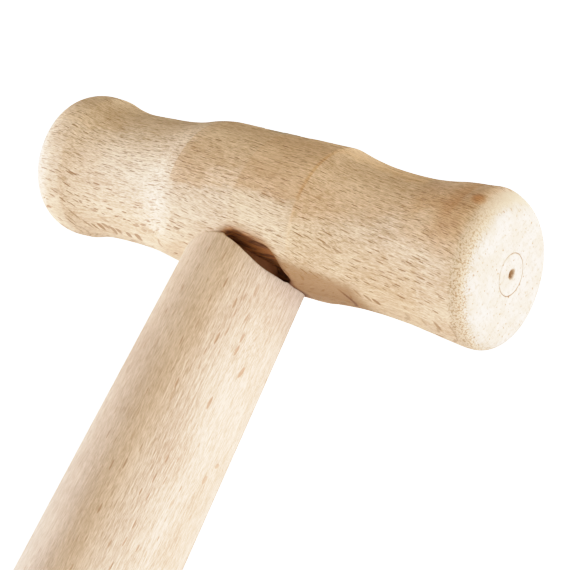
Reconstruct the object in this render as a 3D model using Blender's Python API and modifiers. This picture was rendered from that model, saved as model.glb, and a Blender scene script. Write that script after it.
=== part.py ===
"""A turned wooden mallet: a waisted round head across the top of a round handle.

Metres. +Z runs up the handle from its butt, and +X runs along the head. The origin is the
centre of the butt. The handle ends in a saddle and a round tenon. The head's planed underside
lies in the saddle, the tenon passes through the head, and a wedge driven into the tenon's saw
kerf holds it there.
"""

import math

import bmesh
import bpy

# The whole mallet
HEIGHT = 0.300
GAP = 0.0003

# Head, along X
HEAD_LENGTH = 0.140
BARREL_RADIUS = 0.0203
BARREL_HALF_LENGTH = 0.0198
END_RADIUS = 0.0194
FACE_RADIUS = 0.0139
EDGE_ROUNDING = 0.0075
LEFT_CORNER = (-0.0590, 0.0192)
RIGHT_CORNER = (0.0535, 0.0184)
LEFT_WAIST_DIP = 0.0024
RIGHT_WAIST_DIP = 0.0018
WAIST_FULLNESS = 0.76
HEAD_AXIS_Z = HEIGHT - BARREL_RADIUS

# The head's underside: a planed flat that runs out into the waists, a shallow round relief beside
# the front right of the handle, and the tenon's bore. Depths are distances below the head's axis.
FLAT_DEPTH = 0.0173
FLAT_HALF_LENGTH = 0.0400
RELIEF_CENTRE = (0.0103, -0.0070)
RELIEF_RADIUS = 0.0083
RELIEF_FLOOR_DEPTH = 0.0130
BORE_RADIUS = 0.0118

# Handle, up Z
SADDLE_EAR_Z = HEAD_AXIS_Z - 0.0140
SADDLE_FLOOR_Z = HEAD_AXIS_Z - FLAT_DEPTH - GAP
EAR_ANGLE = math.radians(52)
HANDLE_TOP_RADIUS = 0.0160
HANDLE_TAPER = 0.0288
BUTT_RADIUS = 0.0197
BUTT_ROUNDING = 0.0050
TAPER_BLEND = 0.0010

# Tenon, kerf and wedge
TENON_RADIUS = BORE_RADIUS - GAP
TENON_ROOT = 0.010
WEDGE_TOP_THICKNESS = 0.0034
WEDGE_TIP_THICKNESS = 0.0012
WEDGE_DEPTH = 0.026
KERF_THICKNESS = 0.0016
KERF_DEPTH = 0.030

TURNING_STEPS = 48
ARC_STEPS = 6
ARC_EXPONENT = 2.2
MERGE = 0.00001


def clear_scene():
    for obj in list(bpy.data.objects):
        bpy.data.objects.remove(obj, do_unlink=True)


def make_collection(name):
    collection = bpy.data.collections.new(name)
    bpy.context.scene.collection.children.link(collection)
    return collection


def wood(name, colour, roughness):
    material = bpy.data.materials.new(name)
    material.use_nodes = True
    shader = material.node_tree.nodes["Principled BSDF"]
    shader.inputs["Base Color"].default_value = (*colour, 1.0)
    shader.inputs["Roughness"].default_value = roughness
    shader.inputs["Metallic"].default_value = 0.0
    return material


def add_object(name, mesh, collection, material=None):
    obj = bpy.data.objects.new(name, mesh)
    collection.objects.link(obj)
    if material:
        mesh.materials.append(material)
    return obj


def as_cutter(obj):
    obj.hide_render = True
    obj.display_type = "WIRE"
    return obj


def mesh_from(name, shape):
    mesh = bpy.data.meshes.new(name)
    bmesh.ops.recalc_face_normals(shape, faces=shape.faces)
    shape.to_mesh(mesh)
    shape.free()
    return mesh


def box(name, low, high, collection):
    """An axis-aligned cutting block between two corners."""
    shape = bmesh.new()
    bmesh.ops.create_cube(shape, size=1.0)
    for vert in shape.verts:
        vert.co = [low[i] if vert.co[i] < 0 else high[i] for i in range(3)]
    return as_cutter(add_object(name, mesh_from(name, shape), collection))


def cylinder(name, radius, length, collection):
    """A cutting cylinder along Z, centred on its own origin."""
    shape = bmesh.new()
    bmesh.ops.create_cone(
        shape, cap_ends=True, segments=TURNING_STEPS, radius1=radius, radius2=radius, depth=length
    )
    return as_cutter(add_object(name, mesh_from(name, shape), collection))


def boolean(obj, cutter, operation="DIFFERENCE"):
    modifier = obj.modifiers.new(cutter.name, "BOOLEAN")
    modifier.object = cutter
    modifier.operation = operation
    modifier.solver = "EXACT"


def turned(name, outline, collection, material):
    """A solid of revolution about Z from (radius, height) points that run from top to bottom."""
    mesh = bpy.data.meshes.new(name)
    points = [(radius, 0.0, height) for radius, height in outline]
    mesh.from_pydata(points, [(i, i + 1) for i in range(len(points) - 1)], [])
    obj = add_object(name, mesh, collection, material)
    screw = obj.modifiers.new("turning", "SCREW")
    screw.axis = "Z"
    screw.steps = TURNING_STEPS
    screw.render_steps = TURNING_STEPS
    screw.use_merge_vertices = True
    screw.merge_threshold = MERGE
    screw.use_smooth_shade = True
    return obj


def rounded_edge(flat_radius, full_radius, depth):
    """(radius, depth below the flat) points of a soft corner between a flat and a turned side."""
    points = []
    for i in range(ARC_STEPS + 1):
        angle = math.pi / 2 * i / ARC_STEPS
        across = math.sin(angle) ** (2 / ARC_EXPONENT)
        along = 1.0 - math.cos(angle) ** (2 / ARC_EXPONENT)
        points.append((flat_radius + (full_radius - flat_radius) * across, depth * along))
    return points


def waist(start, end, dip, steps=12):
    """(radius, x) points of a concave waist between two corners, each corner an (x, radius) pair."""
    points = []
    for i in range(steps + 1):
        t = i / steps
        x = start[0] + (end[0] - start[0]) * t
        chord = start[1] + (end[1] - start[1]) * t
        points.append((chord - dip * math.sin(math.pi * t) ** WAIST_FULLNESS, x))
    return points


def head_outline():
    """The head's turned outline, from its right end to its left end."""
    half = HEAD_LENGTH / 2
    edge = rounded_edge(FACE_RADIUS, END_RADIUS, EDGE_ROUNDING)
    right_end = [(0.0, half)] + [(radius, half - depth) for radius, depth in edge]
    left_end = [(radius, depth - half) for radius, depth in reversed(edge)] + [(0.0, -half)]
    right_barrel = (BARREL_HALF_LENGTH, BARREL_RADIUS)
    left_barrel = (-BARREL_HALF_LENGTH, BARREL_RADIUS)
    return (
        right_end
        + waist(RIGHT_CORNER, right_barrel, RIGHT_WAIST_DIP)
        + waist(left_barrel, LEFT_CORNER, LEFT_WAIST_DIP)
        + left_end
    )


def make_head(parts, cutters, material):
    head = turned("head", head_outline(), parts, material)
    head.rotation_euler = (0.0, math.pi / 2, 0.0)
    head.location = (0.0, 0.0, HEAD_AXIS_Z)
    reach = 2 * BARREL_RADIUS
    flat_low = (-FLAT_HALF_LENGTH, -reach, HEAD_AXIS_Z - reach)
    flat_high = (FLAT_HALF_LENGTH, reach, HEAD_AXIS_Z - FLAT_DEPTH)
    boolean(head, box("flat_cutter", flat_low, flat_high, cutters))
    relief = cylinder("relief_cutter", RELIEF_RADIUS, reach, cutters)
    relief.location = (*RELIEF_CENTRE, HEAD_AXIS_Z - RELIEF_FLOOR_DEPTH - reach / 2)
    boolean(head, relief)
    bore = cylinder("bore_cutter", BORE_RADIUS, 4 * BARREL_RADIUS, cutters)
    bore.location = (0.0, 0.0, HEAD_AXIS_Z)
    boolean(head, bore)
    return head


def handle_radius(z):
    """The handle widens in a straight taper below the head, then levels out at the butt's radius."""
    taper = HANDLE_TOP_RADIUS + HANDLE_TAPER * (SADDLE_EAR_Z - z)
    return 0.5 * (taper + BUTT_RADIUS - math.hypot(taper - BUTT_RADIUS, TAPER_BLEND))


def handle_outline(steps=12):
    side = []
    for i in range(steps + 1):
        z = SADDLE_EAR_Z + (BUTT_ROUNDING - SADDLE_EAR_Z) * i / steps
        side.append((handle_radius(z), z))
    foot_radius = side[-1][0]
    foot = rounded_edge(foot_radius - BUTT_ROUNDING, foot_radius, BUTT_ROUNDING)
    return [(0.0, SADDLE_EAR_Z)] + side + foot[-2::-1] + [(0.0, 0.0)]


def saddle_height(y):
    """The trough's height at a distance y from the handle's axis, the same all along X.

    Round the rim it falls in a smooth step from each ear, over EAR_ANGLE, to the trough's floor.
    """
    t = math.acos(min(abs(y) / handle_radius(SADDLE_EAR_Z), 1.0)) / EAR_ANGLE
    t = min(t, 1.0)
    return SADDLE_EAR_Z - (SADDLE_EAR_Z - SADDLE_FLOOR_Z) * t * t * (3.0 - 2.0 * t)


def saddle_cutter(cutters, steps=32):
    """The trough cut across the top of the handle along X, which leaves an ear at the front and back."""
    half_width = handle_radius(SADDLE_EAR_Z)
    section = [(-2 * half_width, SADDLE_EAR_Z)]
    for i in range(1, steps):
        y = -half_width * math.cos(math.pi * i / steps)
        section.append((y, saddle_height(y)))
    roof = HEAD_AXIS_Z + BARREL_RADIUS
    section += [(2 * half_width, SADDLE_EAR_Z), (2 * half_width, roof), (-2 * half_width, roof)]
    shape = bmesh.new()
    outline = [shape.verts.new((-2 * half_width, y, z)) for y, z in section]
    face = shape.faces.new(outline)
    swept = bmesh.ops.extrude_face_region(shape, geom=[face])
    moved = [item for item in swept["geom"] if isinstance(item, bmesh.types.BMVert)]
    bmesh.ops.translate(shape, verts=moved, vec=(4 * half_width, 0.0, 0.0))
    return as_cutter(add_object("saddle_cutter", mesh_from("saddle_cutter", shape), cutters))


def dressing_cutter(cutters):
    """Everything above the head's barrel: it trims the tenon and the wedge flush with the head."""
    reach = 2 * BARREL_RADIUS
    low = (-BARREL_HALF_LENGTH, -reach, HEAD_AXIS_Z)
    high = (BARREL_HALF_LENGTH, reach, HEAD_AXIS_Z + reach)
    block = box("dressing_cutter", low, high, cutters)
    barrel = cylinder("barrel_guide", BARREL_RADIUS, 4 * BARREL_HALF_LENGTH, cutters)
    barrel.rotation_euler = (0.0, math.pi / 2, 0.0)
    barrel.location = (0.0, 0.0, HEAD_AXIS_Z)
    boolean(block, barrel)
    return block


def wedge_mesh(name, extra, width):
    """A block that tapers downwards, grown on both of its broad faces by extra."""
    top_z = HEIGHT + TENON_ROOT
    tip_z = HEIGHT - WEDGE_DEPTH - extra
    slope = (WEDGE_TOP_THICKNESS - WEDGE_TIP_THICKNESS) / WEDGE_DEPTH
    shape = bmesh.new()
    bmesh.ops.create_cube(shape, size=1.0)
    for vert in shape.verts:
        z = top_z if vert.co.z > 0 else tip_z
        thickness = WEDGE_TOP_THICKNESS + slope * (z - HEIGHT) + 2 * extra
        vert.co = (math.copysign(thickness / 2, vert.co.x), math.copysign(width / 2, vert.co.y), z)
    return mesh_from(name, shape)


def make_handle(parts, cutters, dressing, material):
    handle = turned("handle", handle_outline(), parts, material)
    boolean(handle, saddle_cutter(cutters))

    tenon_foot = SADDLE_FLOOR_Z - TENON_ROOT
    tenon_head = HEIGHT + TENON_ROOT
    tenon = cylinder("tenon_guide", TENON_RADIUS, tenon_head - tenon_foot, cutters)
    tenon.location = (0.0, 0.0, (tenon_foot + tenon_head) / 2)
    boolean(handle, tenon, "UNION")
    boolean(handle, dressing)

    width = 4 * TENON_RADIUS
    wedge_room = as_cutter(add_object("wedge_room", wedge_mesh("wedge_room", GAP, width), cutters))
    boolean(handle, wedge_room)
    kerf_low = (-KERF_THICKNESS / 2, -width / 2, HEIGHT - KERF_DEPTH)
    kerf_high = (KERF_THICKNESS / 2, width / 2, HEIGHT)
    boolean(handle, box("kerf_cutter", kerf_low, kerf_high, cutters))
    return handle


def make_wedge(parts, cutters, dressing, material):
    wedge = add_object("wedge", wedge_mesh("wedge", 0.0, 4 * TENON_RADIUS), parts, material)
    boolean(wedge, dressing)
    rim = cylinder("wedge_rim_guide", TENON_RADIUS, 4 * BARREL_RADIUS, cutters)
    rim.location = (0.0, 0.0, HEAD_AXIS_Z)
    boolean(wedge, rim, "INTERSECT")
    return wedge


def main():
    clear_scene()
    parts = make_collection("wooden_mallet")
    cutters = make_collection("cutters")
    dressing = dressing_cutter(cutters)
    make_head(parts, cutters, wood("head_wood", (0.62, 0.42, 0.25), 0.55))
    make_handle(parts, cutters, dressing, wood("handle_wood", (0.66, 0.47, 0.30), 0.55))
    make_wedge(parts, cutters, dressing, wood("wedge_wood", (0.36, 0.20, 0.10), 0.6))


main()
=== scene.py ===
"""The looks of the turned wooden mallet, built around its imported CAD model.

Metres. +Z runs up the handle from its butt and +X runs along the head. Every piece is made as a
fine mesh where its CAD solid lies, in raw beech whose grain is one solid texture, so that the
same rays show as dashes, flakes or lines according to how the surface cuts them.
"""

import math

import bmesh
import bpy
import numpy as np
from mathutils import Matrix, Vector, noise


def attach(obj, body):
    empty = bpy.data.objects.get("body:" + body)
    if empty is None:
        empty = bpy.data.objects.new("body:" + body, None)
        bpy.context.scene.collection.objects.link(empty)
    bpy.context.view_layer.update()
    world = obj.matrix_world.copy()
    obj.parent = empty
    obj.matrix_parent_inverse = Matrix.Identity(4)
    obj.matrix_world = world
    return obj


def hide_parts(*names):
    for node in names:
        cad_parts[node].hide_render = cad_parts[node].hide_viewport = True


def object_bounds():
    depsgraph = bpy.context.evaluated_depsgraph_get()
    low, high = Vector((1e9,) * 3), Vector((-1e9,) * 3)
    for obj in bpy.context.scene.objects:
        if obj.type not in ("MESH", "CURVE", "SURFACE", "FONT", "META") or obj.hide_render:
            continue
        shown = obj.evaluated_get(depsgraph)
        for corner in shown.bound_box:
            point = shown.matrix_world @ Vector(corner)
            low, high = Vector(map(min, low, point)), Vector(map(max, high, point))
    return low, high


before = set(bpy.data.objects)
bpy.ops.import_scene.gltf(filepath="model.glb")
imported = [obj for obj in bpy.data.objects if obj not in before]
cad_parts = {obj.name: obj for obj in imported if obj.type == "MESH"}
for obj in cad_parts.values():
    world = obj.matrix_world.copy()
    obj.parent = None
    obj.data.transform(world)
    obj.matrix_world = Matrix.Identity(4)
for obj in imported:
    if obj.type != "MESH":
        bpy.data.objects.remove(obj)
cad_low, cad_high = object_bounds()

MM = 0.001

# The frame's places and the turned outline, as in the CAD
HEIGHT = cad_high.z
HEAD_LENGTH = cad_high.x - cad_low.x
BARREL_RADIUS = (cad_high.y - cad_low.y) / 2
HEAD_AXIS_Z = HEIGHT - BARREL_RADIUS
BARREL_HALF_LENGTH = 0.0198
END_RADIUS = 0.0194
FACE_RADIUS = 0.0139
EDGE_ROUNDING = 0.0075
LEFT_CORNER = (-0.0590, 0.0192)
RIGHT_CORNER = (0.0535, 0.0184)
LEFT_WAIST_DIP = 0.0024
RIGHT_WAIST_DIP = 0.0018
LEFT_WAIST_EXPONENT = 2.8
RIGHT_WAIST_EXPONENT = 2.2
ARC_EXPONENT = 2.2
BORE_RADIUS = 0.0118
EAR_DEPTH = 0.0140
SADDLE_EAR_Z = HEAD_AXIS_Z - EAR_DEPTH
EAR_ANGLE = math.radians(57)
HANDLE_TOP_RADIUS = 0.0160
HANDLE_TAPER = 0.0288
BUTT_RADIUS = 0.0197
BUTT_ROUNDING = 0.0050
TAPER_BLEND = 0.0010
TENON_RADIUS = 0.0117
WEDGE_TOP_THICKNESS = 0.0034
WEDGE_TIP_THICKNESS = 0.0012
WEDGE_DEPTH = 0.026
KERF_THICKNESS = 0.0016
KERF_DEPTH = 0.030

# The planed seat under the head. Here and below, a fade is a pair of values: something is absent
# at the first and complete at the second.
FLAT_DEPTH = 0.0175
FLAT_DEPTH_LEFT = 0.0183
FLAT_DEPTH_FADE = (-0.012, 0.012)
FLAT_HALF_LENGTH = 0.0380
FLAT_LEFT_SLOPE = 0.35
FLAT_RIGHT_SLOPE = 0.04
FLAT_END_X = 0.054
FLAT_END_SLOPE = 0.3
BACK_TILT = 0.16
BACK_TILT_FADE_IN = (-0.004, 0.010)
BACK_TILT_FADE_OUT = (0.047, 0.030)
UNDERSIDE_Z = -0.006
UNDERSIDE_SOFTNESS = 0.0005
RIGHT_SOFTENING = 4
RIGHT_SOFTENING_FADE = (0.015, 0.023)

# The relief beside the front right of the handle: it lies round a line between two points in plan
RELIEF_START = (0.0040, -0.0095)
RELIEF_END = (0.0114, -0.0084)
RELIEF_RADIUS = 0.0072
RELIEF_DEPTH = 0.0027
RELIEF_SOFT_EDGE = 0.0030
RELIEF_CRISP_EDGE = 0.0006
RELIEF_CRISP_FADE = (0.010, 0.018)

# Fine shape: sanded corners, the lathe's ring and centre mark, and the handle's rim
CORNER_SOFTNESS = 0.0006
LEFT_SOFTNESS = 0.0035
LEFT_SOFTNESS_REACH = 0.012
RING_RADIUS = 0.0051
RING_WIDTH = 0.00018
RING_DEPTH = 0.00022
CENTRE_RADIUS = 0.0011
CENTRE_DEPTH = 0.0016
EAR_ROUNDING = 0.0008
CRISP_ROUNDING = 0.0002
RIM_GAP = 0.0004

# How the head strays from the plain outline: bumps as (size, height, seed), which calm down near
# the axis, then the left waist's sag, and small shifts of the ends, the right one's fading out
# towards the axis
BUMPS = ((0.016, 0.00012, 1), (0.005, 0.00003, 2))
BUMPS_CALM_RADIUS = 0.004
LEFT_SAG = 0.00018
LEFT_SAG_X = -0.048
LEFT_SAG_REACH = 0.010
LEFT_END_SHIFT = 0.0004
LEFT_END_FADE = (-0.050, -0.060)
RIGHT_END_SHRINK = 0.020
RIGHT_SHRINK_FADE = (0.052, 0.062)
RIGHT_NECK_LIFT = 0.0002
RIGHT_NECK_FADE = (0.050, 0.058)
RIGHT_END_DROP = 0.0011
RIGHT_DROP_FADE = (0.062, 0.0695)
CENTRE_FADE = (0.0065, 0.0120)

# How far apart the head's rings are, how far beyond the barrel they are closer together, and the
# power that brings the rings on the handle's side closer together near the head
RING_SPACING = 0.0005
BARREL_RING_SPACING = 0.0002
BARREL_MARGIN = 0.0015
SIDE_CROWDING = 1.15

# Angles round the handle from its front, in radians
OPEN_FADE = (1.38, 1.30)
FRONT_CRISP_FADE = (0.0, 0.14)
BACK_CRISP_FADE = (math.pi, math.pi - 0.3)

# Small gaps that keep the pieces from touching, the tenon's sanded edge, and how far above and
# below the tenon's end the cuts for the wedge begin
FIT_GAP = 0.00004
WEDGE_INSET = 0.00005
TENON_TOP_INSET = 0.00012
TENON_EDGE = 0.0003
TENON_EDGE_DROP = 0.0004
WEDGE_ROOM_RISE = 0.002
KERF_TOP_DEPTH = 0.001

# Camera, about the centre of the head
VIEW_AZIMUTH = math.radians(38.49)
VIEW_ELEVATION = math.radians(-14.73)
VIEW_ROLL = math.radians(25.80)
VIEW_DISTANCE = 0.4276
VIEW_AIM = (0.01294, 0.0, -0.01748)
LENS = 106.8

# Soft lights about the centre of the head: azimuth and elevation in degrees, distance, size,
# watts, colour
COOL = (0.95, 1.02, 1.19)
BLUE = (0.93, 1.00, 1.24)
WARM = (1.05, 1.00, 0.86)
LIGHTS = {
    "left_low_softbox": (-75, -22, 0.74, 0.42, 15.7, COOL),
    "right_softbox": (97, 0, 0.90, 0.55, 8.7, BLUE),
    "right_front_softbox": (70, 20, 0.90, 0.50, 4.9, WARM),
    "rear_softbox": (180, 40, 0.90, 0.60, 4.5, WARM),
}
BACKDROP_STRENGTH = 2.0
AMBIENT_STRENGTH = 0.22

# The floor's half side, and its (reflectance, glow) as it lights the object and as it is seen
FLOOR_HALF_SIDE = 30.0
FLOOR_LIT = (0.82, 0.06)
FLOOR_SEEN = (0.38, 0.85)

# How the camera answers to light: its white level, and (input over white level, output) points
WHITE_LEVEL = 1.6
SHOULDER = ((0.375, 0.600), (0.594, 0.830), (0.8125, 0.950))

# Raw beech. Lengths in the materials are in millimetres. A noise is its scales along the grain,
# radially and tangentially, then its detail and roughness.
WANDER_NOISE = ((0.022, 0.06, 0.06), 1.0, 0.5)
RADIAL_WANDER = 2.0
TANGENT_WANDER = 4.0
BEND_START = 8.0
END_GRAIN_FADE = (0.30, 0.66)
PATCH_SCALE = 0.22
PATCH_DETAIL = (3.0, 0.6)
PATCH_RAGGEDNESS = 5.0
FIBRE_NOISE = ((0.10, 1.7, 2.4), 3.0, 0.62)
FUZZ_DETAIL = (2.0, 0.7)
GROWTH_NOISE = ((0.008, 0.40, 0.07), 2.0, 0.5)
GROWTH_RANGE = (-0.3, 0.3)
MOTTLE_NOISE = ((0.05, 0.09, 0.09), 3.0, 0.55)
MOTTLE_RANGE = (-0.35, 0.35)
SPECKLE_NOISE = ((0.5, 0.9, 0.9), 3.0, 0.75)
SPECKLE_FADE = (0.50, 0.66)
SPECKLE_DEPTH = 0.75
END_WARM_FADE = (0.40, 0.62)
END_RAY_LOSS = 0.85
VESSELS = ((30.0, 1.5, 1.5), (24.0, 0.26, 0.26), 0.45)
FLANK_VESSELS = 0.15
SPINDLE_SIZES = (0.5, 1.15)
SPINDLE_FADE = (1.05, 0.75)
SPINDLE_DEPTHS = (0.3, 1.0)
SHARE_SOFTNESS = 0.02
SPOT_FADE = (1.5, 0.7)
RAY_SINK = -0.5
VESSEL_SINK = -0.6
FUZZ_RISE = 0.8
BUMP_DISTANCE = 0.00016
ROUGHNESS_RANGE = (0.48, 0.68)
SPECULAR = 0.32
GRAIN_TURN = math.radians(10)

HEAD_LOOK = {
    "dark": (0.56, 0.345, 0.175),
    "light": (1.00, 0.765, 0.52),
    # The end grain's pale colour is partly the wood's own and partly painted highlight that makes the
    # head's ends show bright
    "end": (0.69, 0.585, 0.46),
    "end_warm": (0.63, 0.51, 0.37),
    "end_dark": (0.50, 0.37, 0.24),
    "ray": (0.32, 0.145, 0.046),
    "contrast": 1.2,
    "fibre": 0.6,
    "fuzz": 0.8,
    "fuzz_scale": (0.7, 3.2, 3.8),
    "slope": 0.055,
    "bend": 0.0012,
    "ray_cell": (3.0, 9.0, 0.70),
    "ray_half": (1.4, 6.0, 0.108),
    "ray_share": 0.95,
    "bold_cell": (4.6, 9.0, 1.6),
    "bold_half": (1.5, 3.2, 0.17),
    "bold_share": 0.7,
    "ray_depth": 1.0,
    "vessel_depth": 0.9,
    "bump": 1.0,
}
HANDLE_LOOK = dict(
    HEAD_LOOK,
    dark=(0.45, 0.285, 0.155),
    light=(0.78, 0.57, 0.378),
    end=(0.62, 0.46, 0.30),
    end_warm=(0.52, 0.37, 0.22),
    end_dark=(0.40, 0.26, 0.14),
    ray=(0.36, 0.175, 0.065),
    fibre=0.45,
    fuzz=1.0,
    fuzz_scale=(0.5, 4.4, 5.0),
    slope=0.0,
    bend=0.0,
    ray_cell=(5.5, 9.0, 2.6),
    ray_half=(1.5, 6.0, 0.20),
    ray_share=0.55,
    bold_cell=(8.0, 14.0, 4.5),
    bold_half=(1.8, 9.0, 0.32),
    bold_share=0.5,
    ray_depth=0.72,
    vessel_depth=0.4,
)
WEDGE_LOOK = dict(HANDLE_LOOK, dark=(0.45, 0.29, 0.15), light=(0.66, 0.46, 0.28))

# Tone patches on the head, from its centre. Most are painted shade and painted highlight: the top
# and the right waist darker, lighter patches low on the barrel and the left waist, a painted highlight
# on top of the right waist, a shaded and a lit line along the right ridge, and darker bands beside the
# right end; their stepped edges are the wood's own tone. Each is: x range, height range, how the patch
# slopes along X, edge softness along X and in height, tint
HEAD_SHADE_AND_TONE_PATCHES = (
    ((-19.6, 1.2), (-3.4, 30.0), 0.12, (0.15, 0.8), (0.92, 0.83, 0.72)),
    ((1.2, 20.0), (-3.2, 30.0), 0.02, (0.15, 1.0), (0.91, 0.79, 0.66)),
    ((1.0, 20.0), (-30.0, -3.2), 0.0, (1.0, 1.0), (0.99, 0.97, 0.92)),
    # A painted highlight low on the barrel
    ((-9.0, 1.1), (-3.0, 2.2), 0.25, (1.0, 0.4), (1.12, 1.18, 1.28)),
    ((20.0, 60.0), (-13.0, 30.0), 0.30, (0.3, 3.0), (0.93, 0.84, 0.75)),
    ((48.0, 64.5), (-5.0, 9.0), 0.0, (3.0, 3.0), (0.89, 0.80, 0.69)),
    ((48.0, 64.5), (9.0, 30.0), 0.0, (3.0, 3.0), (0.96, 0.92, 0.91)),
    ((56.5, 64.5), (-4.0, 30.0), 0.0, (2.5, 4.0), (0.87, 0.77, 0.67)),
    ((20.0, 56.0), (-20.0, -7.0), 0.0, (1.0, 3.0), (0.98, 0.96, 0.91)),
    # A painted highlight on top of the right waist
    ((20.0, 46.0), (16.0, 30.0), -0.10, (1.0, 1.5), (1.14, 1.11, 1.04)),
    ((-80.0, -46.0), (-8.0, 4.0), 0.0, (1.0, 2.0), (1.03, 1.02, 1.01)),
    ((-80.0, -46.0), (4.0, 30.0), 0.0, (2.0, 1.0), (1.0, 0.95, 0.88)),
    ((-46.0, -19.8), (7.0, 30.0), 0.0, (2.0, 3.0), (0.97, 0.92, 0.86)),
    # Along the right ridge: a painted shade line above, then a painted highlight line below it
    ((19.9, 20.6), (-2.0, 14.0), 0.0, (0.25, 2.0), (0.88, 0.75, 0.60)),
    ((19.9, 20.7), (-14.0, -4.0), 0.0, (0.2, 1.0), (1.08, 1.08, 1.08)),
)

# Other marks on the head, from its centre. A band is (low, high, softness), a spot is its place,
# radius and tint, and a tint multiplies the wood's colour.
RIM_BAND = (65.3, 68.6, 0.8)
RIM_DEPTH = 0.75
RIM_COLOUR = (0.74, 0.56, 0.36)
SPOTS = (
    ((24.0, -17.4, -7.1), 0.5, (0.15, 0.12, 0.10)),
    ((63.5, -15.6, 10.0), 2.6, (0.85, 0.62, 0.42)),
)
# The planed facet under the right of the head: its dark brown is painted shade of the underside, partly
# the facet's own darker tone
FACET_BAND = (11.0, 38.0, 3.0)
FACET_HEIGHT_FADE = (-14.2, -16.4)
FACET_DEPTH = 0.8
FACET_TONE_AND_SHADE = (0.31, 0.14, 0.042)
# A painted contact shadow on the underside beside the handle's rim, right of its front
CONTACT_SHADOW_REACH_FADE = (18.4, 16.2)
CONTACT_SHADOW_X_FADE = (8.0, 12.0)
CONTACT_SHADOW_HEIGHT_FADE = (-12.5, -14.5)
CONTACT_SHADOW_TINT = (0.45, 0.31, 0.20)
EDGE_BAND = (32.5, 42.0, 1.0)
EDGE_SLOPE = 0.2
EDGE_LEVEL_BAND = (-10.22, -9.98, 0.1)
EDGE_TINT = (0.50, 0.34, 0.22)
ON_ENDS_FADE = (66.0, 67.0)
RING_MARK_HALF_WIDTH = 0.12
RING_MARK_SOFTNESS = 0.1
RING_TINT = (0.42, 0.31, 0.21)
HOLE_RAGGEDNESS = 2.0
HOLE_FADE = (2.7, 1.9)
HOLE_TINT = (0.42, 0.30, 0.18)
STIPPLE_NOISE = ((2.0, 2.6, 2.6), 2.0, 0.7)
STIPPLE_FADE = (0.48, 0.62)
STIPPLE_BAND = (65.1, 69.2, 0.6)
STIPPLE_HEIGHT_FADE = (22.0, -8.0)
STIPPLE_TINT = (0.60, 0.46, 0.32)
# Painted shade in the relief beside the handle, streaked along the grain, and softer along its edge; the
# ledge inside the handle's rim takes the same painted shade
RELIEF_HEIGHT_FADE = (-10.5, -12.5)
RELIEF_SHADE_FADE = (0.3, -1.5)
RELIEF_EDGE_FADE = (1.5, -0.3)
RELIEF_EDGE_SHADE = (0.52, 0.36, 0.23)
RELIEF_PAINTED_SHADE = (0.33, 0.115, 0.028)
STREAK_NOISE = ((0.12, 1.0, 1.4), 2.0, 0.6)
STREAK_FADE = (0.40, 0.60)
STREAK_COLOUR = (0.12, 0.036, 0.010)

# The handle's painted shade and painted highlight, partly its own tones: a darker band down its
# middle and a paler, cooler right side; and painted shade on the ledge inside its rim, under the head
HANDLE_SHADE_BAND = (-9.0, 7.0, 3.0)
HANDLE_SHADE_TINT = (0.97, 0.93, 0.88)
HANDLE_HIGHLIGHT_FADE = (6.0, 13.0)
HANDLE_HIGHLIGHT_TINT = (1.02, 1.06, 1.15)
LEDGE_REACH_FADE = (15.3, 14.6)
LEDGE_HEIGHT_BAND = (-18.5, 0.0, 0.4)


def smooth_step(low, high, value):
    """0 at low and 1 at high, smooth between them; low may be the larger."""
    t = np.clip((value - low) / (high - low), 0.0, 1.0)
    return t * t * (3 - 2 * t)


def soft_max(a, b, softness):
    """The larger of two heights, with the corner where they cross rounded off."""
    overlap = np.clip(softness - np.abs(a - b), 0.0, None)
    return np.maximum(a, b) + overlap**2 / (4 * softness)


def bump_at(x, centre, reach):
    """A smooth bump of height 1 at centre that fades to 0 at a distance of reach."""
    return 1.0 - smooth_step(0.0, 1.0, np.abs(x - centre) / reach)


def waviness(points, scale, seed):
    """Smooth noise between -1 and 1 over an array of points."""
    offset = Vector((seed * 17.3, seed * 5.1, seed * 9.7))
    shape = points.shape[:-1]
    flat = points.reshape(-1, 3) / scale
    return np.array([noise.noise(Vector(p) + offset) for p in flat]).reshape(shape)


def grid_mesh(name, rings):
    """A closed mesh from rings of points; the first and the last ring are single points."""
    segments = rings[1].shape[0]
    points = [rings[0][:1]] + list(rings[1:-1]) + [rings[-1][:1]]
    body_rings = len(points) - 2
    faces = []
    following = [(j + 1) % segments for j in range(segments)]
    for j in range(segments):
        faces.append((0, 1 + j, 1 + following[j]))
    for i in range(body_rings - 1):
        low = 1 + i * segments
        high = low + segments
        for j in range(segments):
            faces.append((low + j, high + j, high + following[j], low + following[j]))
    low = 1 + (body_rings - 1) * segments
    last = low + segments
    for j in range(segments):
        faces.append((low + j, last, low + following[j]))
    mesh = bpy.data.meshes.new(name)
    mesh.from_pydata(np.vstack(points).tolist(), [], faces)
    return mesh


def mesh_from(name, shape):
    mesh = bpy.data.meshes.new(name)
    shape.to_mesh(mesh)
    shape.free()
    return mesh


def face_outwards(mesh):
    shape = bmesh.new()
    shape.from_mesh(mesh)
    bmesh.ops.recalc_face_normals(shape, faces=shape.faces)
    shape.to_mesh(mesh)
    shape.free()


def add_piece(name, rings, material):
    mesh = grid_mesh(name, rings)
    face_outwards(mesh)
    piece = bpy.data.objects.new(name, mesh)
    bpy.context.scene.collection.objects.link(piece)
    mesh.materials.append(material)
    mesh.shade_smooth()
    return piece


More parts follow.
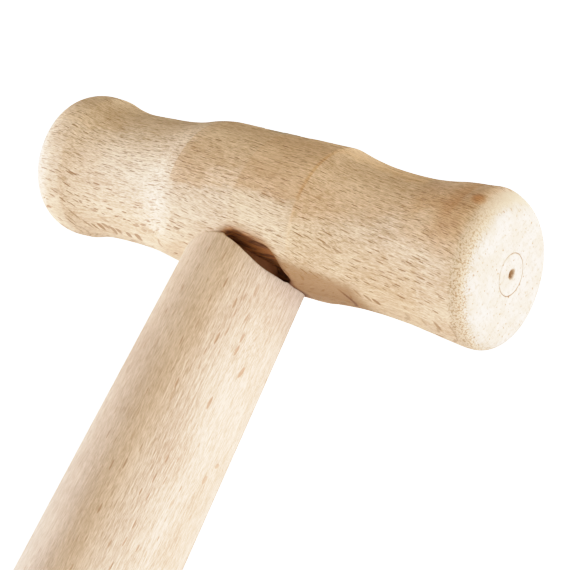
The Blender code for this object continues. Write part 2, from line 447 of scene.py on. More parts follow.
def cut(piece, cutter_mesh):
    """Cuts a mesh away from a piece, and keeps only the result."""
    cutter = bpy.data.objects.new("cutter", cutter_mesh)
    bpy.context.scene.collection.objects.link(cutter)
    modifier = piece.modifiers.new("cut", "BOOLEAN")
    modifier.object = cutter
    modifier.operation = "DIFFERENCE"
    modifier.solver = "MANIFOLD"
    depsgraph = bpy.context.evaluated_depsgraph_get()
    result = bpy.data.meshes.new_from_object(piece.evaluated_get(depsgraph), depsgraph=depsgraph)
    piece.modifiers.remove(modifier)
    piece.data = result
    bpy.data.objects.remove(cutter)


def waist_radius(x, start, end, dip, exponent):
    t = np.clip((x - start[0]) / (end[0] - start[0]), 0.0, 1.0)
    chord = start[1] + (end[1] - start[1]) * t
    return chord - dip * (1.0 - np.abs(2 * t - 1) ** exponent)


def turned_radius(x):
    """The head's radius at x, apart from its rounded ends."""
    end_x = HEAD_LENGTH / 2 - EDGE_ROUNDING
    left_barrel = (-BARREL_HALF_LENGTH, BARREL_RADIUS)
    right_barrel = (BARREL_HALF_LENGTH, BARREL_RADIUS)
    radius = np.full_like(x, BARREL_RADIUS)
    left = waist_radius(x, LEFT_CORNER, left_barrel, LEFT_WAIST_DIP, LEFT_WAIST_EXPONENT)
    right = waist_radius(x, RIGHT_CORNER, right_barrel, RIGHT_WAIST_DIP, RIGHT_WAIST_EXPONENT)
    radius = np.where(x < -BARREL_HALF_LENGTH, left, radius)
    radius = np.where(x > BARREL_HALF_LENGTH, right, radius)
    left_end = np.interp(x, (-end_x, LEFT_CORNER[0]), (END_RADIUS, LEFT_CORNER[1]))
    right_end = np.interp(x, (RIGHT_CORNER[0], end_x), (RIGHT_CORNER[1], END_RADIUS))
    radius = np.where(x < LEFT_CORNER[0], left_end, radius)
    return np.where(x > RIGHT_CORNER[0], right_end, radius)


def softened_radius(x):
    """The turned radius with its corners sanded: a lot left of the barrel, a little elsewhere."""
    left = bump_at(x, -BARREL_HALF_LENGTH, LEFT_SOFTNESS_REACH)
    softness = CORNER_SOFTNESS + (LEFT_SOFTNESS - CORNER_SOFTNESS) * left
    steps = np.linspace(-1.0, 1.0, 15)
    return np.mean([turned_radius(x + step * softness) for step in steps], axis=0)


def end_profile():
    """(depth behind the end, radius) from the lathe's centre mark out to the turned side."""
    radii = np.concatenate(
        [
            np.linspace(0.0, CENTRE_RADIUS * 1.4, 10),
            np.linspace(CENTRE_RADIUS * 1.6, RING_RADIUS - 3 * RING_WIDTH, 12),
            np.linspace(RING_RADIUS - 2.5 * RING_WIDTH, RING_RADIUS + 2.5 * RING_WIDTH, 13),
            np.linspace(RING_RADIUS + 4 * RING_WIDTH, FACE_RADIUS, 24),
        ]
    )
    mark = CENTRE_DEPTH * (1 - smooth_step(0.2 * CENTRE_RADIUS, 1.2 * CENTRE_RADIUS, radii))
    ring = RING_DEPTH * np.exp(-(((radii - RING_RADIUS) / RING_WIDTH) ** 2))
    face = list(zip(mark + ring, radii))
    steps = 30
    rounding = []
    for i in range(1, steps):
        angle = math.pi / 2 * i / steps
        across = math.sin(angle) ** (2 / ARC_EXPONENT)
        along = 1.0 - math.cos(angle) ** (2 / ARC_EXPONENT)
        radius = FACE_RADIUS + (END_RADIUS - FACE_RADIUS) * across
        rounding.append((EDGE_ROUNDING * along, radius))
    return face + rounding


def head_outline():
    """(x, radius) of the rings from the left end's centre to the right end's."""
    half = HEAD_LENGTH / 2
    end_x = half - EDGE_ROUNDING
    middle = BARREL_HALF_LENGTH + BARREL_MARGIN
    body = np.concatenate(
        [
            np.arange(-end_x, -middle, RING_SPACING),
            np.arange(-middle, middle, BARREL_RING_SPACING),
            np.arange(middle, end_x, RING_SPACING),
        ]
    )
    end = end_profile()
    left = [(depth - half, radius) for depth, radius in end]
    right = [(half - depth, radius) for depth, radius in reversed(end)]
    return left + list(zip(body, softened_radius(body))) + right


def head_rings():
    """The turned head about its own axis, with more points to a ring on the underside."""
    top = np.linspace(0.0, math.pi, 160, endpoint=False)
    bottom = np.linspace(math.pi, 2 * math.pi, 320, endpoint=False)
    angles = np.concatenate([top, bottom])
    rings = []
    for x, radius in head_outline():
        along = np.full_like(angles, x)
        rings.append(np.stack([along, -radius * np.cos(angles), radius * np.sin(angles)], axis=-1))
    return np.array(rings)


def flat_height(x, y):
    """The planed flat: a little lower to the left of the handle, and planed up at the back right."""
    depth = FLAT_DEPTH_LEFT + (FLAT_DEPTH - FLAT_DEPTH_LEFT) * smooth_step(*FLAT_DEPTH_FADE, x)
    right = FLAT_RIGHT_SLOPE * np.clip(x - FLAT_HALF_LENGTH, 0.0, None)
    right += FLAT_END_SLOPE * np.clip(x - FLAT_END_X, 0.0, None)
    left = FLAT_LEFT_SLOPE * np.clip(-x - FLAT_HALF_LENGTH, 0.0, None)
    tilt = BACK_TILT * smooth_step(*BACK_TILT_FADE_IN, x) * smooth_step(*BACK_TILT_FADE_OUT, x)
    return tilt * np.clip(y, 0.0, None) - depth - right - left


def relief_height(x, y):
    """How far the relief beside the handle lifts the underside, soft at the front, crisp at the right."""
    run_x = RELIEF_END[0] - RELIEF_START[0]
    run_y = RELIEF_END[1] - RELIEF_START[1]
    along = (x - RELIEF_START[0]) * run_x + (y - RELIEF_START[1]) * run_y
    t = np.clip(along / (run_x**2 + run_y**2), 0.0, 1.0)
    distance = np.hypot(x - RELIEF_START[0] - t * run_x, y - RELIEF_START[1] - t * run_y)
    crisp = smooth_step(*RELIEF_CRISP_FADE, x)
    edge = RELIEF_SOFT_EDGE + (RELIEF_CRISP_EDGE - RELIEF_SOFT_EDGE) * crisp
    return RELIEF_DEPTH * smooth_step(RELIEF_RADIUS, RELIEF_RADIUS - edge, distance)


def let_stray(rings):
    """Moves the head's points a little, as hand turning and sanding leave them.

    x, y and z are views, so changing them changes the rings.
    """
    x, y, z = rings[..., 0], rings[..., 1], rings[..., 2]
    bumps = sum(height * waviness(rings, size, seed) for size, height, seed in BUMPS)
    from_axis = np.hypot(y, z)
    rings[..., 1:] *= (1.0 - np.abs(bumps) / np.maximum(from_axis, BUMPS_CALM_RADIUS))[..., None]
    z -= LEFT_SAG * bump_at(x, LEFT_SAG_X, LEFT_SAG_REACH)
    outer = smooth_step(*CENTRE_FADE, from_axis)
    shrink = RIGHT_END_SHRINK * (outer * smooth_step(*RIGHT_SHRINK_FADE, x))
    rings[..., 1:] *= 1.0 - shrink[..., None]
    lift = RIGHT_NECK_LIFT * smooth_step(*RIGHT_NECK_FADE, x)
    z += outer * (lift - RIGHT_END_DROP * smooth_step(*RIGHT_DROP_FADE, x))
    x += LEFT_END_SHIFT * smooth_step(*LEFT_END_FADE, x)


def plane_seat(rings):
    """Cuts the flat and its relief into the underside, between the rounded ends."""
    x, y, z = rings[..., 0], rings[..., 1], rings[..., 2]
    softening = 1 + RIGHT_SOFTENING * smooth_step(*RIGHT_SOFTENING_FADE, x)
    planed = soft_max(z, flat_height(x, y), UNDERSIDE_SOFTNESS * softening) + relief_height(x, y)
    between_ends = np.abs(x) < HEAD_LENGTH / 2 - EDGE_ROUNDING
    rings[..., 2] = np.where((z < UNDERSIDE_Z) & between_ends, planed, z)


def bore_mesh():
    shape = bmesh.new()
    bmesh.ops.create_cone(
        shape,
        cap_ends=True,
        segments=192,
        radius1=BORE_RADIUS,
        radius2=BORE_RADIUS,
        depth=4 * BARREL_RADIUS,
        matrix=Matrix.Translation((0.0, 0.0, HEAD_AXIS_Z)),
    )
    return mesh_from("bore", shape)


def make_head(material):
    rings = head_rings()
    let_stray(rings)
    plane_seat(rings)
    rings[..., 2] += HEAD_AXIS_Z
    head = add_piece("head_turned", rings, material)
    cut(head, bore_mesh())
    return head


def handle_radius(z):
    taper = HANDLE_TOP_RADIUS + HANDLE_TAPER * (SADDLE_EAR_Z - z)
    return 0.5 * (taper + BUTT_RADIUS - np.hypot(taper - BUTT_RADIUS, TAPER_BLEND))


def head_underside(x, y):
    """The head's own surface above the handle, apart from the relief."""
    barrel = -np.sqrt(np.clip(BARREL_RADIUS**2 - y**2, 0.0, None))
    return HEAD_AXIS_Z + np.maximum(barrel, flat_height(x, y))


def crispness(angles):
    """1 on the handle's right half, where the rim is sharp, and 0 where its ears are rounded."""
    return smooth_step(*FRONT_CRISP_FADE, angles) * smooth_step(*BACK_CRISP_FADE, angles)


def openness(angles):
    """1 where the handle's rim stands open at the front right, and 0 where it is tight."""
    return crispness(angles) * smooth_step(*OPEN_FADE, angles)


def rim_height(angles):
    """The rim's height round the handle: it falls from the ears at the front and back."""
    turn = np.arccos(np.abs(np.cos(angles)))
    fall = smooth_step(0.0, EAR_ANGLE, turn) * (FLAT_DEPTH + RIM_GAP - EAR_DEPTH)
    return SADDLE_EAR_Z - fall


def saddle_height(radius, angles):
    """The handle's top: it fits the head's underside, and stays below it where the rim is open."""
    x = radius * np.sin(angles)
    y = -radius * np.cos(angles)
    fitted = head_underside(x, y) - FIT_GAP
    return fitted + (np.minimum(fitted, rim_height(angles)) - fitted) * openness(angles)


def crown_height(y):
    """The barrel's top surface, which the tenon and the wedge are dressed flush with."""
    return HEAD_AXIS_Z + np.sqrt(BARREL_RADIUS**2 - y**2)


def handle_ring(radius, height, angles):
    return np.stack([radius * np.sin(angles), -radius * np.cos(angles), height], axis=-1)


def tenon_rings(angles):
    """The tenon's dressed end from its centre, and its side down to the saddle."""
    front = np.cos(angles)
    rings = []
    for radius in np.linspace(0.0, TENON_RADIUS - TENON_EDGE, 26):
        rings.append(handle_ring(radius, crown_height(radius * front) - TENON_TOP_INSET, angles))
    crown = crown_height(TENON_RADIUS * front) - TENON_EDGE_DROP
    foot = saddle_height(TENON_RADIUS, angles)
    for t in np.linspace(0.0, 1.0, 24):
        rings.append(handle_ring(TENON_RADIUS, crown + (foot - crown) * t, angles))
    return rings


def saddle_rings(angles):
    """The saddle out to the rounded rim, and the height where the rim meets the side."""
    rounding = EAR_ROUNDING + (CRISP_ROUNDING - EAR_ROUNDING) * crispness(angles)
    inner = HANDLE_TOP_RADIUS - rounding
    rings = []
    for t in np.linspace(0.06, 1.0, 20):
        radius = TENON_RADIUS + (inner - TENON_RADIUS) * t
        rings.append(handle_ring(radius, saddle_height(radius, angles), angles))
    edge = saddle_height(inner, angles)
    steps = 8
    for i in range(1, steps + 1):
        angle = math.pi / 2 * i / steps
        radius = inner + rounding * math.sin(angle)
        rings.append(handle_ring(radius, edge - rounding * (1 - math.cos(angle)), angles))
    return rings, edge - rounding


def side_rings(side_top, angles):
    """The tapered side, with rings closer together near the head."""
    rings = []
    for t in np.linspace(0.0, 1.0, 300)[1:] ** SIDE_CROWDING:
        height = side_top + (BUTT_ROUNDING - side_top) * t
        rings.append(handle_ring(handle_radius(height), height, angles))
    return rings


def butt_rings(angles):
    """The butt's rounded edge, and its flat to the centre."""
    outer = float(handle_radius(np.array(BUTT_ROUNDING)))
    steps = 16
    rings = []
    for i in range(1, steps + 1):
        angle = math.pi / 2 * i / steps
        across = math.cos(angle) ** (2 / ARC_EXPONENT)
        along = math.sin(angle) ** (2 / ARC_EXPONENT)
        radius = outer - BUTT_ROUNDING * (1 - across)
        height = np.full_like(angles, BUTT_ROUNDING * (1 - along))
        rings.append(handle_ring(radius, height, angles))
    for t in np.linspace(0.9, 0.0, 18):
        rings.append(handle_ring((outer - BUTT_ROUNDING) * t, np.zeros_like(angles), angles))
    return rings


def wedge_half_thickness(z):
    slope = (WEDGE_TOP_THICKNESS - WEDGE_TIP_THICKNESS) / WEDGE_DEPTH
    return (WEDGE_TOP_THICKNESS + slope * (z - HEIGHT)) / 2


def cutting_block(name, bottom, top):
    """A block across the whole tenon, with (z, half thickness) at its bottom and at its top."""
    shape = bmesh.new()
    bmesh.ops.create_cube(shape, size=1.0)
    for vert in shape.verts:
        z, half_thickness = top if vert.co.z > 0 else bottom
        vert.co.x = math.copysign(half_thickness, vert.co.x)
        vert.co.y = math.copysign(2 * TENON_RADIUS, vert.co.y)
        vert.co.z = z
    return mesh_from(name, shape)


def wedge_room():
    """The slot that the wedge opens in the tenon, a little larger than the wedge."""
    ends = []
    for z in (HEIGHT - WEDGE_DEPTH - FIT_GAP, HEIGHT + WEDGE_ROOM_RISE):
        ends.append((z, wedge_half_thickness(z) + FIT_GAP))
    return cutting_block("wedge_room", *ends)


def kerf():
    """The saw cut below the wedge."""
    half = KERF_THICKNESS / 2
    return cutting_block("kerf", (HEIGHT - KERF_DEPTH, half), (HEIGHT - KERF_TOP_DEPTH, half))


def make_handle(material):
    angles = np.linspace(0.0, 2 * math.pi, 400, endpoint=False)
    saddle, side_top = saddle_rings(angles)
    rings = tenon_rings(angles) + saddle + side_rings(side_top, angles) + butt_rings(angles)
    handle = add_piece("handle_turned", rings, material)
    cut(handle, wedge_room())
    cut(handle, kerf())
    return handle


def make_wedge(material):
    """A block of stations along Y, each a section that is thin at the tip and flush at the top."""
    limit = TENON_RADIUS - WEDGE_INSET
    corner = math.sqrt(limit**2 - (WEDGE_TOP_THICKNESS / 2) ** 2)
    tip = HEIGHT - WEDGE_DEPTH
    stations = 48
    levels = 30
    sections = []
    for s in range(stations + 1):
        y = -limit + 2 * limit * s / stations
        y = math.copysign(min(abs(y), corner), y)
        top = float(crown_height(np.array(y))) - WEDGE_INSET
        left, right = [], []
        for i in range(levels + 1):
            z = top + (tip - top) * i / levels
            left.append((-wedge_half_thickness(z), y, z))
            right.append((wedge_half_thickness(z), y, z))
        sections.append(left + right[::-1])
    sections = np.array(sections)
    first = sections[0].mean(axis=0, keepdims=True)
    last = sections[-1].mean(axis=0, keepdims=True)
    wedge = add_piece("wedge_block", [first] + list(sections) + [last], material)
    wedge.data.set_sharp_from_angle(angle=math.radians(35))
    return wedge


class Tree:
    """Short calls that add nodes to one material."""

    def __init__(self, name):
        self.material = bpy.data.materials.new(name)
        self.material.use_nodes = True
        self.tree = self.material.node_tree
        self.shader = self.tree.nodes["Principled BSDF"]

    def node(self, kind, **settings):
        made = self.tree.nodes.new(kind)
        for key, value in settings.items():
            setattr(made, key, value)
        return made

    def feed(self, socket, value):
        if isinstance(value, bpy.types.NodeSocket):
            self.tree.links.new(value, socket)
        else:
            socket.default_value = value

    def math(self, operation, a, b=0.0, c=0.0, clamp=False):
        made = self.node("ShaderNodeMath", operation=operation, use_clamp=clamp)
        for socket, value in zip(made.inputs, (a, b, c)):
            self.feed(socket, value)
        return made.outputs[0]

    def product(self, first, *others):
        for other in others:
            first = self.math("MULTIPLY", first, other)
        return first

    def vector(self, x, y, z):
        made = self.node("ShaderNodeCombineXYZ")
        for socket, value in zip(made.inputs, (x, y, z)):
            self.feed(socket, value)
        return made.outputs[0]

    def scaled(self, parts, scales):
        """A vector of three values, each times its own scale."""
        return self.vector(*[self.math("MULTIPLY", part, scale) for part, scale in zip(parts, scales)])

    def split(self, vector):
        made = self.node("ShaderNodeSeparateXYZ")
        self.feed(made.inputs[0], vector)
        return made.outputs[0], made.outputs[1], made.outputs[2]

    def along(self, position, direction, scale):
        """The coordinate along a direction, times a scale."""
        made = self.node("ShaderNodeVectorMath", operation="DOT_PRODUCT")
        self.feed(made.inputs[0], position)
        made.inputs[1].default_value = [scale * part for part in direction]
        return made.outputs["Value"]

    def from_point(self, position, point):
        """The vector from a point to the position; the point may be a socket too."""
        made = self.node("ShaderNodeVectorMath", operation="SUBTRACT")
        self.feed(made.inputs[0], position)
        self.feed(made.inputs[1], point)
        return made.outputs[0]

    def length(self, vector):
        made = self.node("ShaderNodeVectorMath", operation="LENGTH")
        self.feed(made.inputs[0], vector)
        return made.outputs["Value"]

    def distance(self, a, b):
        """How far a point is from an axis, from its two coordinates across the axis."""
        return self.length(self.vector(a, b, 0.0))

    def noise(self, vector, scale, detail, roughness):
        made = self.node("ShaderNodeTexNoise")
        self.feed(made.inputs["Vector"], vector)
        made.inputs["Scale"].default_value = scale
        made.inputs["Detail"].default_value = detail
        made.inputs["Roughness"].default_value = roughness
        return made.outputs["Fac"]

    def step(self, value, low, high):
        """0 at low and 1 at high, smooth between them; low may be the larger."""
        made = self.node("ShaderNodeMapRange", interpolation_type="SMOOTHSTEP")
        self.feed(made.inputs["Value"], value)
        if low < high:
            made.inputs["From Min"].default_value = low
            made.inputs["From Max"].default_value = high
            return made.outputs["Result"]
        made.inputs["From Min"].default_value = high
        made.inputs["From Max"].default_value = low
        made.inputs["To Min"].default_value = 1.0
        made.inputs["To Max"].default_value = 0.0
        return made.outputs["Result"]

    def band(self, value, low, high, softness):
        """1 between low and high, with both edges softened."""
        rise = self.step(value, low - softness, low + softness)
        fall = self.step(value, high + softness, high - softness)
        return self.math("MULTIPLY", rise, fall)

    def scale_range(self, value, low, high):
        """Stretches a value between 0 and 1 to run from low to high."""
        made = self.node("ShaderNodeMapRange")
        self.feed(made.inputs["Value"], value)
        made.inputs["To Min"].default_value = low
        made.inputs["To Max"].default_value = high
        return made.outputs["Result"]

    def mix(self, factor, a, b, blend="MIX"):
        made = self.node("ShaderNodeMix", data_type="RGBA", blend_type=blend)
        self.feed(made.inputs["Factor"], factor)
        self.feed(made.inputs[6], (*a, 1.0) if isinstance(a, tuple) else a)
        self.feed(made.inputs[7], (*b, 1.0) if isinstance(b, tuple) else b)
        return made.outputs[2]

    def times(self, colour, mask, tint):
        """The colour, multiplied by a tint where the mask is 1."""
        return self.mix(mask, colour, tint, "MULTIPLY")

    def spindles(self, grain, cell, half, share):
        """How much a point lies in one of many slim bodies, one to each cell of the wood.

        grain is (along the grain, radial, tangential); cell and half give the cells' size and the
        bodies' half size that way. Only a share of the cells hold a body, and their sizes vary.
        """
        place = self.scaled(grain, [1 / size for size in cell])
        made = self.node("ShaderNodeTexVoronoi")
        self.feed(made.inputs["Vector"], place)
        made.inputs["Scale"].default_value = 1.0
        stretched = self.node("ShaderNodeVectorMath", operation="MULTIPLY")
        self.feed(stretched.inputs[0], self.from_point(place, made.outputs["Position"]))
        stretched.inputs[1].default_value = [cell[i] / half[i] for i in range(3)]
        chance, size, depth = self.split(made.outputs["Color"])
        reach = self.length(stretched.outputs[0])
        reach = self.math("DIVIDE", reach, self.scale_range(size, *SPINDLE_SIZES))
        present = self.step(chance, share, share - SHARE_SOFTNESS)
        depth = self.scale_range(depth, *SPINDLE_DEPTHS)
        return self.product(self.step(reach, *SPINDLE_FADE), present, depth)


class Beech(Tree):
    """Raw beech with its grain along one direction."""

    def __init__(self, name, along, radial, tangent, look):
        super().__init__(name)
        self.look = look
        place = self.node("ShaderNodeTexCoord")
        position = place.outputs["Object"]
        self.x = self.along(position, (1.0, 0.0, 0.0), 1 / MM)
        self.y = self.along(position, (0.0, 1.0, 0.0), 1 / MM)
        height = self.along(position, (0.0, 0.0, 1.0), 1 / MM)
        self.height = self.math("SUBTRACT", height, HEAD_AXIS_Z / MM)
        straight = [self.along(position, way, 1 / MM) for way in (along, radial, tangent)]
        self.grain = self.wandering(*straight)
        facing = self.math("ABSOLUTE", self.along(place.outputs["Normal"], along, 1.0))
        self.end = self.step(facing, *END_GRAIN_FADE)
        self.patchiness = self.noise(self.vector(*self.grain), PATCH_SCALE, *PATCH_DETAIL)

    def wandering(self, run, across, side):
        """The grain's coordinates, bent as the look asks and by a slow noise."""
        scales, detail, roughness = WANDER_NOISE
        wander = self.noise(self.scaled((run, across, side), scales), 1.0, detail, roughness)
        wander = self.math("SUBTRACT", wander, 0.5)
        side = self.math("MULTIPLY_ADD", wander, TANGENT_WANDER, side)
        side = self.math("MULTIPLY_ADD", run, self.look["slope"], side)
        beyond = self.math("MAXIMUM", self.math("SUBTRACT", run, BEND_START), 0.0)
        side = self.math("MULTIPLY_ADD", self.product(beyond, beyond), self.look["bend"], side)
        return run, self.math("MULTIPLY_ADD", wander, RADIAL_WANDER, across), side

    def grain_noise(self, scales, detail, roughness):
        return self.noise(self.scaled(self.grain, scales), 1.0, detail, roughness)

    def flank_colour(self, fibre, fuzz):
        """The colour of the surface along the grain."""
        look = self.look
        tone = self.math(
            "ADD",
            self.scale_range(fibre, -look["fibre"], look["fibre"]),
            self.scale_range(self.grain_noise(*GROWTH_NOISE), *GROWTH_RANGE),
        )
        mottle = self.scale_range(self.grain_noise(*MOTTLE_NOISE), *MOTTLE_RANGE)
        tone = self.math("ADD", tone, mottle)
        tone = self.math("ADD", tone, self.scale_range(fuzz, -look["fuzz"], look["fuzz"]))
        tone = self.math("MULTIPLY_ADD", tone, look["contrast"], 0.5, clamp=True)
        return self.mix(tone, look["dark"], look["light"])

    def end_colour(self):
        """The speckled colour of the end grain."""
        warm = self.step(self.patchiness, *END_WARM_FADE)
        colour = self.mix(warm, self.look["end"], self.look["end_warm"])
        speckle = self.step(self.grain_noise(*SPECKLE_NOISE), *SPECKLE_FADE)
        return self.mix(self.product(speckle, SPECKLE_DEPTH), colour, self.look["end_dark"])

    def rays(self):
        """The fine and the bold rays, which the end grain hardly shows."""
        look = self.look
        fine = self.spindles(self.grain, look["ray_cell"], look["ray_half"], look["ray_share"])
        bold = self.spindles(self.grain, look["bold_cell"], look["bold_half"], look["bold_share"])
        flank = self.math("SUBTRACT", 1.0, self.product(self.end, END_RAY_LOSS))
        return self.product(self.math("MAXIMUM", fine, bold), flank)

    def vessels(self):
        """The open pores, which show best on the end grain."""
        pores = self.spindles(self.grain, *VESSELS)
        return self.product(pores, self.scale_range(self.end, FLANK_VESSELS, 1.0))

    def raise_surface(self, fibre, fuzz, rays, vessels):
        height = self.math("MULTIPLY_ADD", rays, RAY_SINK, fibre)
        height = self.math("MULTIPLY_ADD", fuzz, FUZZ_RISE, height)
        height = self.math("MULTIPLY_ADD", vessels, VESSEL_SINK, height)
        bump = self.node("ShaderNodeBump")
        bump.inputs["Strength"].default_value = self.look["bump"]
        bump.inputs["Distance"].default_value = BUMP_DISTANCE
        self.feed(bump.inputs["Height"], height)
        self.feed(self.shader.inputs["Normal"], bump.outputs[0])
        self.feed(self.shader.inputs["Roughness"], self.scale_range(fibre, *ROUGHNESS_RANGE))
        self.shader.inputs["Specular IOR Level"].default_value = SPECULAR

    def base(self):
        """Makes the fine surface, and gives the wood's colour before any marks."""
        look = self.look
        fibre = self.grain_noise(*FIBRE_NOISE)
        fuzz = self.grain_noise(look["fuzz_scale"], *FUZZ_DETAIL)
        rays = self.rays()
        vessels = self.vessels()
        self.raise_surface(fibre, fuzz, rays, vessels)
        colour = self.mix(self.end, self.flank_colour(fibre, fuzz), self.end_colour())
        colour = self.mix(self.product(rays, look["ray_depth"]), colour, look["ray"])
        return self.mix(self.product(vessels, look["vessel_depth"]), colour, look["ray"])

    def patch(self, colour, x_range, height_range, slope, softness, tint):
        """Tints a ragged patch between two x values and two heights, which may slope along X."""
        level = self.math("MULTIPLY_ADD", self.x, -slope, self.height)
        ragged = self.math("SUBTRACT", self.patchiness, 0.5)
        level = self.math("MULTIPLY_ADD", ragged, PATCH_RAGGEDNESS, level)
        within_x = self.band(self.x, *x_range, softness[0])
        within_height = self.band(level, *height_range, softness[1])
        return self.times(colour, self.product(within_x, within_height), tint)

    def spot(self, colour, centre, radius, tint):
        """Tints a small, roughly round mark at a place given from the centre of the head."""
        position = self.vector(self.x, self.y, self.height)
        reach = self.length(self.from_point(position, centre))
        reach = self.math("MULTIPLY_ADD", self.patchiness, radius, reach)
        outer, inner = [part * radius for part in SPOT_FADE]
        return self.times(colour, self.step(reach, outer, inner), tint)

    def relief_distance(self):
        """How far a point is in plan from the relief's line, as in relief_height."""
        start = [part / MM for part in RELIEF_START]
        run = [(RELIEF_END[i] - RELIEF_START[i]) / MM for i in range(2)]
        length = run[0] ** 2 + run[1] ** 2
        from_x = self.math("SUBTRACT", self.x, start[0])
        from_y = self.math("SUBTRACT", self.y, start[1])
        t = self.math("MULTIPLY", from_x, run[0] / length)
        t = self.math("MULTIPLY_ADD", from_y, run[1] / length, t, clamp=True)
        away_x = self.math("MULTIPLY_ADD", t, -run[0], from_x)
        away_y = self.math("MULTIPLY_ADD", t, -run[1], from_y)
        return self.distance(away_x, away_y)

    def finish(self, colour):
        self.feed(self.shader.inputs["Base Color"], colour)
        return self.material


def tint_seat(wood, colour):
    """Paints shade on the right facet (partly its own tone), a contact shadow by the handle, and the
    facet's dark edge.
    """
    # Painted shade on the planed facet, partly its own darker tone
    facet = wood.product(
        wood.band(wood.x, *FACET_BAND),
        wood.step(wood.height, *FACET_HEIGHT_FADE),
        FACET_DEPTH,
    )
    colour = wood.mix(facet, colour, FACET_TONE_AND_SHADE)
    # Painted contact shadow beside the handle's rim
    corner = wood.product(
        wood.step(wood.distance(wood.x, wood.y), *CONTACT_SHADOW_REACH_FADE),
        wood.step(wood.x, *CONTACT_SHADOW_X_FADE),
        wood.step(wood.height, *CONTACT_SHADOW_HEIGHT_FADE),
    )
    colour = wood.times(colour, corner, CONTACT_SHADOW_TINT)
    level = wood.math("MULTIPLY_ADD", wood.x, EDGE_SLOPE, wood.height)
    edge = wood.product(wood.band(wood.x, *EDGE_BAND), wood.band(level, *EDGE_LEVEL_BAND))
    return wood.times(colour, edge, EDGE_TINT)


def tint_ends(wood, colour):
    """The lathe's ring and centre hole on both ends, and the stippled edge of the right one."""
    from_axis = wood.distance(wood.y, wood.height)
    on_ends = wood.step(wood.math("ABSOLUTE", wood.x), *ON_ENDS_FADE)
    radius = RING_RADIUS / MM
    ring = wood.band(
        from_axis, radius - RING_MARK_HALF_WIDTH, radius + RING_MARK_HALF_WIDTH, RING_MARK_SOFTNESS
    )
    colour = wood.times(colour, wood.product(on_ends, ring), RING_TINT)
    ragged = wood.math("MULTIPLY_ADD", wood.patchiness, HOLE_RAGGEDNESS, from_axis)
    hole = wood.step(ragged, *HOLE_FADE)
    colour = wood.times(colour, wood.product(on_ends, hole), HOLE_TINT)
    stipple = wood.product(
        wood.band(wood.x, *STIPPLE_BAND),
        wood.step(wood.height, *STIPPLE_HEIGHT_FADE),
        wood.step(wood.grain_noise(*STIPPLE_NOISE), *STIPPLE_FADE),
    )
    return wood.times(colour, stipple, STIPPLE_TINT)


def paint_relief_shade(wood, colour):
    """Painted shade in the relief beside the handle, streaked along the grain, and along its edge."""
    distance = wood.math("SUBTRACT", wood.relief_distance(), RELIEF_RADIUS / MM)
    below = wood.step(wood.height, *RELIEF_HEIGHT_FADE)
    edge = wood.product(wood.step(distance, *RELIEF_EDGE_FADE), below)
    inside = wood.product(wood.step(distance, *RELIEF_SHADE_FADE), below)
    streaks = wood.step(wood.grain_noise(*STREAK_NOISE), *STREAK_FADE)
    painted_shade = wood.mix(streaks, STREAK_COLOUR, RELIEF_PAINTED_SHADE)
    return wood.mix(inside, wood.times(colour, edge, RELIEF_EDGE_SHADE), painted_shade)


def head_material():
    radial = (0.0, -math.cos(GRAIN_TURN), math.sin(GRAIN_TURN))
    tangent = (0.0, math.sin(GRAIN_TURN), math.cos(GRAIN_TURN))
    wood = Beech("turned_beech", (1.0, 0.0, 0.0), radial, tangent, HEAD_LOOK)
    colour = wood.base()
    # Painted shade and painted highlight on the head, with some of the wood's own stepped tone
    for patch in HEAD_SHADE_AND_TONE_PATCHES:
        colour = wood.patch(colour, *patch)
    colour = wood.mix(wood.product(wood.band(wood.x, *RIM_BAND), RIM_DEPTH), colour, RIM_COLOUR)
    for spot in SPOTS:
        colour = wood.spot(colour, *spot)
    colour = tint_seat(wood, colour)
    colour = tint_ends(wood, colour)
    return wood.finish(paint_relief_shade(wood, colour))


def handle_material():
    radial = (math.sin(GRAIN_TURN), -math.cos(GRAIN_TURN), 0.0)
    tangent = (math.cos(GRAIN_TURN), math.sin(GRAIN_TURN), 0.0)
    wood = Beech("handle_beech", (0.0, 0.0, 1.0), radial, tangent, HANDLE_LOOK)
    colour = wood.base()
    # Painted shade in a band down the handle's middle, and painted highlight on its right side, partly
    # the handle's own tones
    colour = wood.times(colour, wood.band(wood.x, *HANDLE_SHADE_BAND), HANDLE_SHADE_TINT)
    colour = wood.times(colour, wood.step(wood.x, *HANDLE_HIGHLIGHT_FADE), HANDLE_HIGHLIGHT_TINT)
    # Painted shade on the saddle and tenon inside the rim, seen through the gap under the head
    within = wood.step(wood.distance(wood.x, wood.y), *LEDGE_REACH_FADE)
    ledge_shade = wood.product(within, wood.band(wood.height, *LEDGE_HEIGHT_BAND))
    return wood.finish(wood.mix(ledge_shade, colour, RELIEF_PAINTED_SHADE))


def wedge_material():
    wood = Beech("wedge_beech", (0.0, 0.0, 1.0), (1.0, 0.0, 0.0), (0.0, 1.0, 0.0), WEDGE_LOOK)
    return wood.finish(wood.base())


def direction(azimuth, elevation):
    return Vector(
        (
            math.sin(azimuth) * math.cos(elevation),
            -math.cos(azimuth) * math.cos(elevation),
            math.sin(elevation),
        )
    )


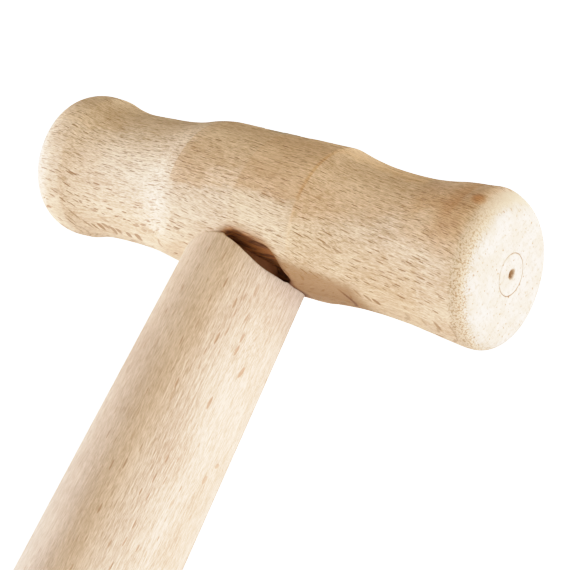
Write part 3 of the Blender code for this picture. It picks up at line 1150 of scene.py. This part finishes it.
def make_camera(centre):
    """The camera looks up at the head from the front right, and is rolled."""
    data = bpy.data.cameras.new("camera")
    data.lens = LENS
    data.sensor_width = 36.0
    data.clip_start = 0.01
    data.clip_end = 50.0
    camera = bpy.data.objects.new("camera", data)
    bpy.context.scene.collection.objects.link(camera)
    place = centre + direction(VIEW_AZIMUTH, VIEW_ELEVATION) * VIEW_DISTANCE
    forward = (centre + Vector(VIEW_AIM) - place).normalized()
    level_right = forward.cross(Vector((0.0, 0.0, 1.0))).normalized()
    level_up = level_right.cross(forward)
    right = math.cos(VIEW_ROLL) * level_right + math.sin(VIEW_ROLL) * level_up
    up = math.cos(VIEW_ROLL) * level_up - math.sin(VIEW_ROLL) * level_right
    turn = Matrix((right, up, -forward)).transposed().to_4x4()
    camera.matrix_world = Matrix.Translation(place) @ turn
    bpy.context.scene.camera = camera


def make_lights(centre):
    for name, (azimuth, elevation, distance, size, power, colour) in LIGHTS.items():
        data = bpy.data.lights.new(name, "AREA")
        data.shape = "SQUARE"
        data.size = size
        data.energy = power
        data.color = colour
        light = bpy.data.objects.new(name, data)
        bpy.context.scene.collection.objects.link(light)
        towards = direction(math.radians(azimuth), math.radians(elevation))
        light.visible_camera = False
        light.location = centre + towards * distance
        light.rotation_euler = towards.to_track_quat("Z", "Y").to_euler()


def show_apart(tree, lit, seen, output):
    """Lets the camera see one shader, while the other lights the scene."""
    path = tree.nodes.new("ShaderNodeLightPath")
    blend = tree.nodes.new("ShaderNodeMixShader")
    tree.links.new(path.outputs["Is Camera Ray"], blend.inputs[0])
    tree.links.new(lit.outputs[0], blend.inputs[1])
    tree.links.new(seen.outputs[0], blend.inputs[2])
    tree.links.new(blend.outputs[0], tree.nodes[output].inputs[0])


def make_world():
    """A white backdrop for the camera, which lights the object more softly than it shines."""
    world = bpy.data.worlds.new("studio")
    bpy.context.scene.world = world
    world.use_nodes = True
    tree = world.node_tree
    ambient = tree.nodes["Background"]
    ambient.inputs["Color"].default_value = (*WARM, 1.0)
    ambient.inputs["Strength"].default_value = AMBIENT_STRENGTH
    backdrop = tree.nodes.new("ShaderNodeBackground")
    backdrop.inputs["Color"].default_value = (1.0, 1.0, 1.0, 1.0)
    backdrop.inputs["Strength"].default_value = BACKDROP_STRENGTH
    show_apart(tree, ambient, backdrop, "World Output")


def make_floor():
    """A pale floor that looks as bright far away as near the object, and still takes its shadow."""
    mesh = bpy.data.meshes.new("floor")
    side = FLOOR_HALF_SIDE
    corners = [(-side, -side, 0), (side, -side, 0), (side, side, 0), (-side, side, 0)]
    mesh.from_pydata(corners, [], [(0, 1, 2, 3)])
    floor = bpy.data.objects.new("floor", mesh)
    bpy.context.scene.collection.objects.link(floor)
    material = bpy.data.materials.new("pale_floor")
    material.use_nodes = True
    tree = material.node_tree
    lit = tree.nodes["Principled BSDF"]
    seen = tree.nodes.new("ShaderNodeBsdfPrincipled")
    for shader, (reflectance, glow) in ((lit, FLOOR_LIT), (seen, FLOOR_SEEN)):
        shader.inputs["Base Color"].default_value = (reflectance, reflectance, reflectance, 1.0)
        shader.inputs["Roughness"].default_value = 0.8
        shader.inputs["Specular IOR Level"].default_value = 0.2
        shader.inputs["Emission Color"].default_value = (1.0, 1.0, 1.0, 1.0)
        shader.inputs["Emission Strength"].default_value = glow
    show_apart(tree, lit, seen, "Material Output")
    mesh.materials.append(material)


def set_exposure():
    """Highlights roll off softly before they reach white."""
    settings = bpy.context.scene.view_settings
    settings.view_transform = "Standard"
    settings.use_curve_mapping = True
    mapping = settings.curve_mapping
    mapping.white_level = (WHITE_LEVEL, WHITE_LEVEL, WHITE_LEVEL)
    for point in SHOULDER:
        mapping.curves[3].points.new(*point)
    mapping.update()


def main():
    head = make_head(head_material())
    handle = make_handle(handle_material())
    wedge = make_wedge(wedge_material())
    for piece, node in ((head, "head"), (handle, "handle"), (wedge, "wedge")):
        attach(piece, "root")
        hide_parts(node)
    centre = Vector((0.0, 0.0, HEAD_AXIS_Z))
    make_camera(centre)
    make_lights(centre)
    make_world()
    make_floor()
    set_exposure()


main()
